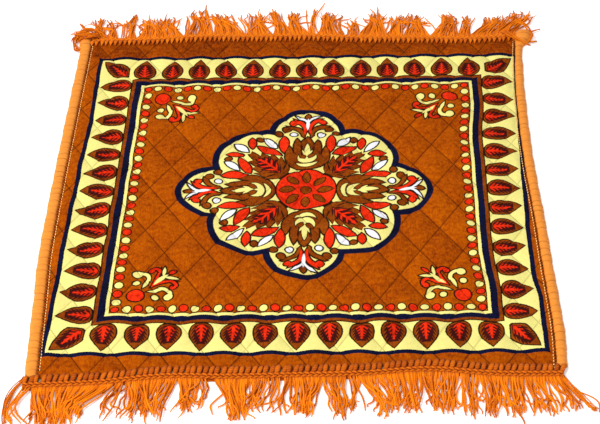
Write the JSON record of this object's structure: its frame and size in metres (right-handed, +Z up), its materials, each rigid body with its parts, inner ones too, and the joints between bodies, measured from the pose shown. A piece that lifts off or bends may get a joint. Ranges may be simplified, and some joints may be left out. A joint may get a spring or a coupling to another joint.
{
  "type": "quilted velvet prayer rug",
  "caption": "Small prayer rug: a quilted velvet mat with a printed medallion and leaf border, yarn rolls down both sides and a knitted fringe at each end, lying flat.",
  "frame": {"origin": "bottom centre of the rug's bounding box, on the floor", "axes": "+Z up, +Y towards the back fringe, +X to the right seen from the front fringe"},
  "size_m": [0.6258, 0.7964, 0.0126],
  "materials": {
    "velvet": "printed short-pile velvet, quilted",
    "side_yarn": "soft spun yarn, closely wound over the edge",
    "fringe_yarn": "plied cotton yarn, knitted heading and loose strands"
  },
  "bodies": {
    "root": {"quilted_velvet": "velvet", "left_side_roll": "side_yarn", "right_side_roll": "side_yarn", "front_fringe": "fringe_yarn", "back_fringe": "fringe_yarn"}
  },
  "joints": []
}
